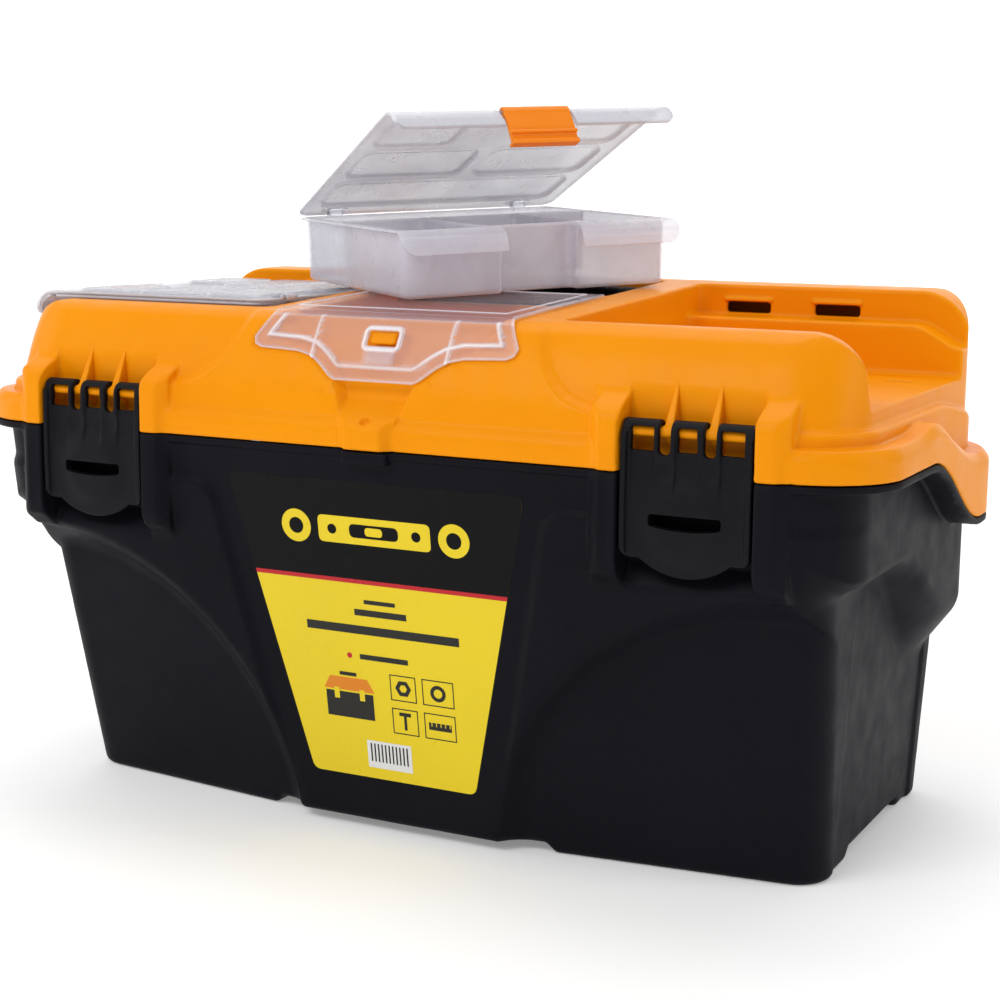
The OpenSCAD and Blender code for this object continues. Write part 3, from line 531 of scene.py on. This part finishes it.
def build_org_box(name, place):
    g = Grid((0, -82.5, -1), (85, 77, 42), 0.6)
    X, Y, Z = g.X, g.Y, g.Z
    t = 1.5
    draft = 0.02 * (ORG_H - Z)
    shell = rmax(rmax(X - OX + draft, np.abs(Y) - OY + draft, 7), -Z, 2.5)
    shell = np.maximum(shell, Z - ORG_H)
    notch = rmax(X - 22.5, Y + 61, 3)
    shell = cut(shell, notch, 1.5)
    cells = [rect(X, Y, -OX + t, OX - t, 18, OY - t, 5), rect(X, Y, 30, OX - t, -OY + t, 18 - t, 5),
             rect(X, Y, -30 + t, 30 - t, -61 + t, 18 - t, 4)]
    body = shell
    for c in cells:
        body = cut(body, rmax(c + draft, t - Z, 2), 0.5)
    # side rims and the curled flange
    rim = rmax(rmax(X - OX - 3.5, np.abs(Y) - OY - 0.5, 8), np.abs(Z - 35) - 0.8, 0.6)
    rim = np.maximum(np.maximum(rim, -rmax(X - OX + 1, np.abs(Y) - OY + 1, 7)), -66 - Y)
    curl = poly(Y, Z, [(-69, 35.9), (-72, 34.9), (-75.4, 32.2), (-77.3, 28.6), (-78.6, 23), (-77, 23),
                       (-75.9, 28), (-74, 31.2), (-71.6, 33.4), (-69, 34.4)])
    curl = np.maximum(curl, rmax(X - OX - 3.5, 23 - Z, 8))
    curl = cut(curl, notch, 1.0)
    body = np.minimum(body, np.minimum(cut(rim, notch, 1.0), curl))
    near = np.abs(X - 60) - 4
    hole = np.sqrt((Y - ORG_HY) ** 2 + (Z - ORG_HZ) ** 2)
    lug = np.maximum(poly(Y, Z, [(67, 28), (74, 37.6), (72, 39.8), (69.6, 37.6), (67, 36)]), near)
    lug = np.minimum(lug, np.maximum(hole - 2.5, near))
    lug = np.maximum(lug, 1.25 - hole)
    body = np.minimum(body, lug)
    walls = np.minimum(np.minimum(np.abs(cells[0]), np.abs(cells[1])), np.abs(cells[2]))
    cross = ramp(-np.abs(Y - 17.2), -2, -1) * ramp(-walls, -2, -1)
    white = 0.35 * ramp(Z, 34, 35.5) + 0.3 * ramp(-Z, -2.5, -0.5) + 0.3 * cross
    return solid(name, g, body, mirror=True, place=place, white=white)


def build_org_lid(name, place):
    g = Grid((0, -83, 21), (85, 77, 41), 0.5)
    X, Y, Z = g.X, g.Y, g.Z
    lines = [rect(X, Y, -74, 74, 26, 61, 7), rect(X, Y, 4, 74, -18, 19, 7), rect(X, Y, 27, 74, -59, -24, 7)]
    up = 0
    for d in lines:
        up = up + 1.3 * ramp(-d, -0.6, 1.4)
    base = poly(Y, Z, [(80, 37.9), (-69, 37.9), (-73, 37), (-76.6, 34.6), (-79.2, 30.5), (-81.4, 25),
                       (-80.2, 23.9), (-78.9, 24.6), (-77.4, 29.6), (-75, 33.4), (-72, 35.5), (-69, 36.3),
                       (80, 36.3)])
    flat = np.maximum(Z - 37.9 - up, 36.3 + up - Z)
    body = np.where(Y > -67, flat, base)
    outline = rmax(X - OX - 3.5, Y - OY - 3, 8)
    body = rmax(body, outline, 0.6)
    body = np.maximum(body, np.where(Y < -70, rmax(X - OX - 3.5, 23.5 - Z, 9), -99))
    hinge_gap = np.maximum(np.abs(X - 60) - 5.5, 64 - Y)
    body = cut(body, hinge_gap, 0.5)
    opening = np.maximum(X - 21, Y + 71)
    body = cut(body, opening, 0.6)
    rod = np.maximum(np.sqrt((Y - CLIP_Y) ** 2 + (Z - CLIP_Z) ** 2) - 1.25, X - 23)
    body = np.minimum(body, rod)
    arm = np.maximum(poly(Y, Z, [(64, 36.3), (64, 37.9), (72, 39.4), (73.6, 38.5), (73, 36.2)]),
                     np.abs(np.abs(X - 60) - 6) - 1.4)
    pin = np.maximum(np.sqrt((Y - ORG_HY) ** 2 + (Z - ORG_HZ) ** 2) - 1.15, np.abs(X - 60) - 7)
    body = np.minimum(body, np.minimum(arm, pin))
    white = 0
    for d in lines:
        white = np.maximum(white, ramp(-np.abs(d + 0.5), -1.4, -0.3))
    white = 0.5 * white + 0.45 * ramp(outline, -1.5, -0.5) + 0.25 * ramp(-Y, 72, 78)
    return solid(name, g, body, mirror=True, place=place, adapt=0.01, white=white)


def build_org_clip(name, place):
    g = Grid((0, CLIP_Y - 8.5, 11), (21, CLIP_Y + 6.5, 39), 0.3)
    X, Y, Z = g.X, g.Y, g.Z
    r = np.sqrt((Y - CLIP_Y) ** 2 + (Z - CLIP_Z) ** 2)
    plate = poly(Y, Z, [(CLIP_Y - 3.1, CLIP_Z), (CLIP_Y - 5, ORG_H - 12), (CLIP_Y - 5.6, ORG_H - 18.5),
                        (CLIP_Y - 7.3, ORG_H - 20), (CLIP_Y - 7.3, ORG_H - 22.2),
                        (CLIP_Y - 3.4, ORG_H - 22.2), (CLIP_Y - 3.4, ORG_H - 19),
                        (CLIP_Y - 2.9, ORG_H - 12), (CLIP_Y - 1, CLIP_Z)])
    rib = rect(Y, Z, CLIP_Y - 7.2, CLIP_Y - 4, ORG_H - 16.2, ORG_H - 14.4, 0.6)
    hook = rect(Y, Z, CLIP_Y - 4, CLIP_Y - 1.2, ORG_H - 22.2, ORG_H - 20.4, 0.5)
    f = smin(np.minimum(plate, smin(rib, plate, 0.8)), np.minimum(r - 3.1, hook), 0.6)
    f = rmax(f, X - 19.8, 0.6)
    f = np.maximum(f, 1.35 - r)
    seat = rect(Y, Z, CLIP_Y - 1.5, CLIP_Y + 5, CLIP_Z - 2, CLIP_Z + 5, 0.3)
    f = np.maximum(f, -np.maximum(np.abs(X - 10) - 2.2, seat))
    return solid(name, g, f, mirror=True, place=place)


def build_divider(name, place):
    g = Grid((-2, 17, 0), (2, 70, 35), 0.4)
    X, Y, Z = g.X, g.Y, g.Z
    f = rmax(np.abs(X) - 0.75, rect(Y, Z, 18.6, OY - 2.2, 1.8, 32.8, 1.5), 0.4)
    return solid(name, g, f, place=place)


# ---------------------------------------------------------------- where the organisers are
def org_places():
    left = Matrix.Translation((-(MID_X + 0.5 + ORG_HY + 2.6) * MM, -0.013, 0.2353))
    left = left @ Matrix.Rotation(math.radians(-90), 4, "Z")
    x, y, lift = LOOSE_AT
    loose = (Matrix.Translation((x * MM, y * MM, (269 + (y + 107) * RISE + lift) * MM))
             @ Matrix.Rotation(math.atan(RISE), 4, "X") @ Matrix.Rotation(math.radians(TURN), 4, "Z"))
    h = Matrix.Translation((0, ORG_HY * MM, ORG_HZ * MM))
    loose_lid = loose @ h @ Matrix.Rotation(math.radians(-OPEN), 4, "X") @ h.inverted()
    return left, loose, loose_lid


# ---------------------------------------------------------------- label
def build_label():
    """Sticker on the V-shaped panel: plain colour fields and simple signs, no lettering."""
    parts = {}

    def put(z):
        return -(107 + 0.155 * z)

    def shape(colour, pts, level):
        parts.setdefault(colour, []).append(([(x, z) for x, z in pts], level))

    def rounded(pts, r, n=6):
        out = []
        for i, p in enumerate(pts):
            a, b = Vector(pts[i - 1]), Vector(pts[(i + 1) % len(pts)])
            p = Vector(p)
            u, w = (a - p).normalized(), (b - p).normalized()
            ang = u.angle(w) / 2
            d = r / math.tan(ang)
            p0, p1 = p + u * d, p + w * d
            for k in range(n + 1):
                t = k / n
                q = p0 * (1 - t) ** 2 + p * 2 * t * (1 - t) + p1 * t ** 2
                out.append((q.x, q.y))
        return out

    def half(z):
        return 47.5 + (z - 30) * (84 - 47.5) / 158

    def band(z0, z1, inset=0.0):
        low, high = half(z0) - inset, half(z1) - inset
        return [(-low, z0), (low, z0), (high, z1), (-high, z1)]

    shape("yellow", rounded(band(30, 188), 5), 0.10)
    upper = rounded(band(30, 188), 5)
    upper = [p for p in upper if p[1] > 100]
    shape("black", [(-half(137.5), 137.5), (half(137.5), 137.5)] + upper, 0.14)
    shape("red", band(135.4, 137.6), 0.17)

    def ring(colour, cx, cz, r0, r1, n, level, phase=0.0):
        for k in range(n):
            a, b = 2 * math.pi * (k + phase) / n, 2 * math.pi * (k + 1 + phase) / n
            corners = ((r0, a), (r1, a), (r1, b), (r0, b))
            shape(colour, [(cx + r * math.cos(t), cz + r * math.sin(t)) for r, t in corners], level)

    def bar(colour, x0, z0, x1, z1, level, lean=0.0):
        shape(colour, [(x0, z0), (x1, z0), (x1 + lean, z1), (x0 + lean, z1)], level)

    def disc(colour, cx, cz, r, level, n=24):
        turns = [2 * math.pi * k / n for k in range(n)]
        shape(colour, [(cx + r * math.cos(t), cz + r * math.sin(t)) for t in turns], level)

    # a plain spirit level between two washers
    ring("yellow", -45, 163, 4.2, 8.6, 36, 0.18)
    ring("yellow", 45, 163, 4.2, 8.6, 36, 0.18)
    shape("yellow", rounded([(-32, 156), (32, 156), (32, 170), (-32, 170)], 3), 0.18)
    shape("black", rounded([(-14, 159.5), (14, 159.5), (14, 166.5), (-14, 166.5)], 3), 0.21)
    shape("yellow", rounded([(-5, 160.8), (5, 160.8), (5, 165.2), (-5, 165.2)], 2), 0.24)
    disc("black", -24, 163, 2.6, 0.21)
    disc("black", 24, 163, 2.6, 0.21)
    # plain bars
    lines = ((125, 9, 2.2), (118.5, 15, 3.4), (108.5, 44, 4.6), (95, 14, 2.8))
    for z0, w, t in lines:
        bar("ink", -w, z0, w, z0 + t, 0.16)
    ring("red", -20, 96.4, 0.0, 1.5, 12, 0.16)
    # a small box sign
    bar("ink", -36, 62, -8, 76, 0.16)
    shape("orange", [(-37, 77), (-7, 77), (-11, 84), (-33, 84)], 0.16)
    bar("ink", -27, 85, -17, 87, 0.16)
    bar("yellow", -31, 72, -28, 78, 0.19)
    bar("yellow", -16, 72, -13, 78, 0.19)
    # four framed signs: nut, washer, screw, rule
    for i, (cx, cz) in enumerate(((10, 82), (30, 82), (10, 64), (30, 64))):
        w = 7.5 if i % 2 == 0 else 9
        frame_bars = ((-w, -7, w, -6.4), (-w, 6.4, w, 7), (-w, -7, -w + 0.6, 7), (w - 0.6, -7, w, 7))
        for x0, z0, x1, z1 in frame_bars:
            bar("ink", cx + x0, cz + z0, cx + x1, cz + z1, 0.16)
    ring("ink", 10, 82, 2.2, 4.6, 6, 0.16)
    ring("ink", 30, 82, 2.4, 4.4, 24, 0.16)
    bar("ink", 9.2, 59.5, 10.8, 67, 0.16)
    bar("ink", 6.6, 67, 13.4, 69, 0.16)
    bar("ink", 23.5, 62, 36.5, 66, 0.16)
    for k in range(5):
        bar("yellow", 25 + 2.6 * k, 64, 25.5 + 2.6 * k, 66.1, 0.18)
    # white patch with even stripes
    bar("white", -14, 36, 12, 51, 0.16)
    for k in range(11):
        bar("ink", -12 + 2.1 * k, 39.5, -11.1 + 2.1 * k, 49.5, 0.18)

    colours = list(parts)
    verts, faces, mats = [], [], []
    for ci, c in enumerate(colours):
        for pts, level in parts[c]:
            area = sum(a[0] * b[1] - b[0] * a[1] for a, b in zip(pts, pts[1:] + pts[:1]))
            if area < 0:
                pts = pts[::-1]
            i0 = len(verts)
            verts += [(x * MM, (put(z) - level) * MM, z * MM) for x, z in pts]
            faces.append(list(range(i0, i0 + len(pts))))
            mats.append(ci)
    me = bpy.data.meshes.new("label_print")
    me.from_pydata(verts, [], faces)
    for c in colours:
        me.materials.append(MATS["print_" + c])
    me.polygons.foreach_set("material_index", mats)
    ob = bpy.data.objects.new("label_print", me)
    bpy.context.scene.collection.objects.link(ob)
    return ob


# ---------------------------------------------------------------- materials
MATS = {}


def material(name, colour, rough, **kw):
    m = bpy.data.materials.new(name)
    m.use_nodes = True
    nt = m.node_tree
    b = nt.nodes["Principled BSDF"]
    b.inputs["Base Color"].default_value = (*colour, 1)
    b.inputs["Roughness"].default_value = rough
    for k, v in kw.items():
        b.inputs[k.replace("_", " ")].default_value = v
    MATS[name] = m
    return m, nt, b


def node(nt, kind, **kw):
    n = nt.nodes.new(kind)
    for k, v in kw.items():
        setattr(n, k, v)
    return n


def noise(nt, coord, scale, detail=2.0, rough=0.5):
    n = node(nt, "ShaderNodeTexNoise")
    n.inputs["Scale"].default_value = scale
    n.inputs["Detail"].default_value = detail
    n.inputs["Roughness"].default_value = rough
    nt.links.new(coord, n.inputs["Vector"])
    return n.outputs["Fac"]


def spread(nt, fac, lo, hi):
    n = node(nt, "ShaderNodeMapRange")
    n.inputs["From Min"].default_value, n.inputs["From Max"].default_value = 0.3, 0.7
    n.inputs["To Min"].default_value, n.inputs["To Max"].default_value = lo, hi
    nt.links.new(fac, n.inputs["Value"])
    return n.outputs["Result"]


def mix_colour(nt, fac, a, b):
    n = node(nt, "ShaderNodeMix", data_type="RGBA")
    for k, v in ((6, a), (7, b)):
        if isinstance(v, tuple):
            n.inputs[k].default_value = (*v, 1)
        else:
            nt.links.new(v, n.inputs[k])
    nt.links.new(fac, n.inputs[0])
    return n.outputs[2]


def moulded(name, colour, dark, rough, grain, grain_scale, blotch=0.06, edge=None, sink=0.002, **kw):
    """Moulded plastic: soft blotches in colour and roughness, fine grain, and a painted highlight that
    lightens convex edges.
    """
    m, nt, b = material(name, colour, rough, **kw)
    co = node(nt, "ShaderNodeTexCoord").outputs["Object"]
    big = noise(nt, co, 9, 3)
    col = mix_colour(nt, spread(nt, big, 0, 1), dark, colour)
    # a lighter colour on convex edges, found by pointiness, is a painted highlight
    if edge:
        geo = node(nt, "ShaderNodeNewGeometry")
        painted_highlight = node(nt, "ShaderNodeMapRange")
        painted_highlight.inputs["From Min"].default_value, painted_highlight.inputs["From Max"].default_value = 0.52, 0.6
        nt.links.new(geo.outputs["Pointiness"], painted_highlight.inputs["Value"])
        col = mix_colour(nt, painted_highlight.outputs["Result"], col, edge)
    nt.links.new(col, b.inputs["Base Color"])
    mid = noise(nt, co, 60, 4)
    nt.links.new(spread(nt, mid, rough - blotch, rough + blotch), b.inputs["Roughness"])
    fine = noise(nt, co, grain_scale, 2, 0.6)
    bump = node(nt, "ShaderNodeBump")
    bump.inputs["Strength"].default_value = grain
    bump.inputs["Distance"].default_value = 0.0004
    nt.links.new(fine, bump.inputs["Height"])
    wave = node(nt, "ShaderNodeBump")
    wave.inputs["Strength"].default_value = 0.12
    wave.inputs["Distance"].default_value = sink
    nt.links.new(noise(nt, co, 22, 2), wave.inputs["Height"])
    nt.links.new(wave.outputs["Normal"], bump.inputs["Normal"])
    nt.links.new(bump.outputs["Normal"], b.inputs["Normal"])
    return m


def clear(name, colour, alpha, rough):
    """Milky see-through plastic: thin faces let light by, thick beads and edges are whiter."""
    m, nt, b = material(name, colour, rough, Specular_IOR_Level=0.5, Coat_Weight=0.6, Coat_Roughness=0.16)
    co = node(nt, "ShaderNodeTexCoord").outputs["Object"]
    white = node(nt, "ShaderNodeAttribute", attribute_name="whiteness")
    haze = spread(nt, noise(nt, co, 30, 3), alpha * 0.9, alpha * 1.1)
    add = node(nt, "ShaderNodeMath", operation="MULTIPLY_ADD", use_clamp=True)
    nt.links.new(white.outputs["Fac"], add.inputs[0])
    add.inputs[1].default_value = 0.55
    nt.links.new(haze, add.inputs[2])
    nt.links.new(add.outputs[0], b.inputs["Alpha"])
    body = mix_colour(nt, spread(nt, noise(nt, co, 14, 2), 0, 1), colour, tuple(0.94 * c for c in colour))
    nt.links.new(mix_colour(nt, white.outputs["Fac"], body, (0.88, 0.87, 0.92)), b.inputs["Base Color"])
    nt.links.new(spread(nt, noise(nt, co, 90, 3), rough - 0.05, rough + 0.05), b.inputs["Roughness"])
    wave = node(nt, "ShaderNodeBump")
    wave.inputs["Strength"].default_value, wave.inputs["Distance"].default_value = 0.12, 0.0015
    nt.links.new(noise(nt, co, 35, 2), wave.inputs["Height"])
    nt.links.new(wave.outputs["Normal"], b.inputs["Normal"])
    return m


def make_materials():
    # the edge colour given to black_pp is the painted highlight on its convex edges
    moulded("black_pp", (0.0062, 0.0062, 0.0096), (0.0048, 0.0048, 0.0074), 0.5, 0.25, 1800,
            edge=(0.009, 0.009, 0.013), sink=0.0005, Specular_IOR_Level=0.06)
    moulded("black_latch", (0.0058, 0.0058, 0.0086), (0.0045, 0.0045, 0.0066), 0.5, 0.6, 1500,
            sink=0.0005, Specular_IOR_Level=0.12)
    moulded("black_tray", (0.012, 0.0122, 0.0145), (0.009, 0.0092, 0.011), 0.46, 0.3, 1500,
            sink=0.001, Specular_IOR_Level=0.25)
    moulded("orange_pp", (0.88, 0.30, 0.001), (0.85, 0.275, 0.001), 0.38, 0.12, 1600, 0.05,
            Specular_IOR_Level=0.09)
    moulded("orange_clip", (0.88, 0.24, 0.004), (0.84, 0.21, 0.003), 0.32, 0.1, 1500, 0.04,
            Specular_IOR_Level=0.25)
    clear("clear_pp", (0.62, 0.58, 0.66), 0.16, 0.28)
    # organiser covers: a more opaque milky plastic, and their darker grey than the cases' is painted shade
    clear("milky_pp_painted_shade", (0.46, 0.46, 0.53), 0.52, 0.3)
    clear("frosted_pp", (0.76, 0.75, 0.84), 0.46, 0.3)
    moulded("steel", (0.5, 0.5, 0.52), (0.42, 0.42, 0.44), 0.3, 0.1, 2500, Metallic=1.0)
    inks = {
        "yellow": (0.80, 0.60, 0.010), "black": (0.003, 0.003, 0.0035), "red": (0.50, 0.008, 0.015),
        "ink": (0.012, 0.011, 0.008), "orange": (0.72, 0.22, 0.008), "white": (0.75, 0.75, 0.74),
    }
    for name, colour in inks.items():
        gloss = 0.1 if name == "black" else 0.3
        moulded("print_" + name, colour, tuple(0.93 * c for c in colour), 0.3, 0.05, 700, 0.04,
                sink=0.0005, Specular_IOR_Level=gloss)


# ---------------------------------------------------------------- floor and light
def make_stage():
    bpy.context.scene.view_settings.view_transform = "Standard"
    bpy.ops.mesh.primitive_plane_add(size=14, location=(0, 0, 0))
    floor = bpy.context.object
    floor.name = "floor"
    m, _, b = material("floor", (0.9, 0.9, 0.9), 0.8, Emission_Strength=0.22, Specular_IOR_Level=0.1)
    b.inputs["Emission Color"].default_value = (1, 1, 1, 1)
    floor.data.materials.append(m)
    bpy.ops.mesh.primitive_plane_add(size=10, location=(-3.9, 3.2, 3), rotation=(math.radians(90), 0, 0))
    wall = bpy.context.object
    wall.name = "backdrop"
    m, _, b = material("backdrop", (0.9, 0.9, 0.9), 0.9, Emission_Strength=0.8, Specular_IOR_Level=0.0)
    b.inputs["Emission Color"].default_value = (1, 1, 1, 1)
    wall.data.materials.append(m)
    world = bpy.data.worlds.new("world")
    bpy.context.scene.world = world
    world.use_nodes = True
    world.node_tree.nodes["Background"].inputs["Color"].default_value = (1, 1, 1, 1)
    world.node_tree.nodes["Background"].inputs["Strength"].default_value = 0.42

    def area(name, loc, target, size, power):
        l = bpy.data.lights.new(name, "AREA")
        l.shape, l.size, l.size_y, l.energy = "RECTANGLE", size[0], size[1], power
        ob = bpy.data.objects.new(name, l)
        ob.location = loc
        ob.rotation_euler = (Vector(target) - Vector(loc)).to_track_quat("-Z", "Y").to_euler()
        bpy.context.scene.collection.objects.link(ob)
    area("key", (-0.3, -1.5, 1.5), (0, 0, 0.2), (1.2, 0.7), 16)
    area("left", (-1.7, -0.6, 0.7), (0, 0, 0.2), (0.6, 1.2), 5)
    area("right", (1.6, 0.2, 0.8), (0, 0, 0.2), (0.5, 1.2), 6)
    area("top", (0, 0.4, 1.9), (0, 0, 0.2), (1.6, 0.9), 9)


# ---------------------------------------------------------------- assembly
def finish_piece(ob, mat, body, nodes=()):
    if mat:
        ob.data.materials.append(MATS[mat])
    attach(ob, body)
    if nodes:
        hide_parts(*nodes)


make_camera()
make_materials()
make_stage()
tub_nodes = ["base_floor", "base_front", "base_rear", "base_left", "base_right",
             "latch_bay_left", "latch_bay_right"]
finish_piece(build_tub(), "black_pp", "base", tub_nodes)
finish_piece(build_label(), None, "base", ["front_label"])
finish_piece(build_lid(), "orange_pp", "lid", ["lid_left", "lid_middle", "lid_right"])
finish_piece(build_handle(), "black_pp", "handle", ["handle"])
tray_nodes = ["tray_front_left", "tray_front_middle", "tray_front_right", "tray_rib", "tray_rear"]
finish_piece(build_tray(), "black_tray", "tray", tray_nodes)
finish_piece(build_centre_lid(), "clear_pp", "centre_lid", ["centre_lid"])
for side, s in (("left", -1), ("right", 1)):
    finish_piece(build_rod(s), "orange_pp", "lid")
    finish_piece(build_hinge(s, "lid"), "orange_pp", "lid")
    finish_piece(build_hinge(s, "base"), "black_pp", "base")
    finish_piece(build_latch(s), "black_latch", "latch_" + side, ["latch_" + side])
    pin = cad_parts["hinge_pin_" + side]
    for k in range(max(1, len(pin.material_slots))):
        if pin.material_slots:
            pin.material_slots[k].material = MATS["steel"]
        else:
            pin.data.materials.append(MATS["steel"])
at_left, at_loose, at_loose_lid = org_places()
for side, box_at, lid_at in (("left", at_left, at_left), ("right", at_loose, at_loose_lid)):
    o = "organizer_" + side
    finish_piece(build_org_box(o + "_case", box_at), "frosted_pp", o, [o + "_box"])
    finish_piece(build_divider(o + "_wall", box_at), "frosted_pp", o, [o + "_divider"])
    finish_piece(build_org_lid(o + "_cover", lid_at), "milky_pp_painted_shade", o + "_lid", [o + "_lid"])
    snap = build_org_clip(o + "_snap", lid_at)
    finish_piece(snap, "orange_clip", o + "_clip", [o + "_clip"])
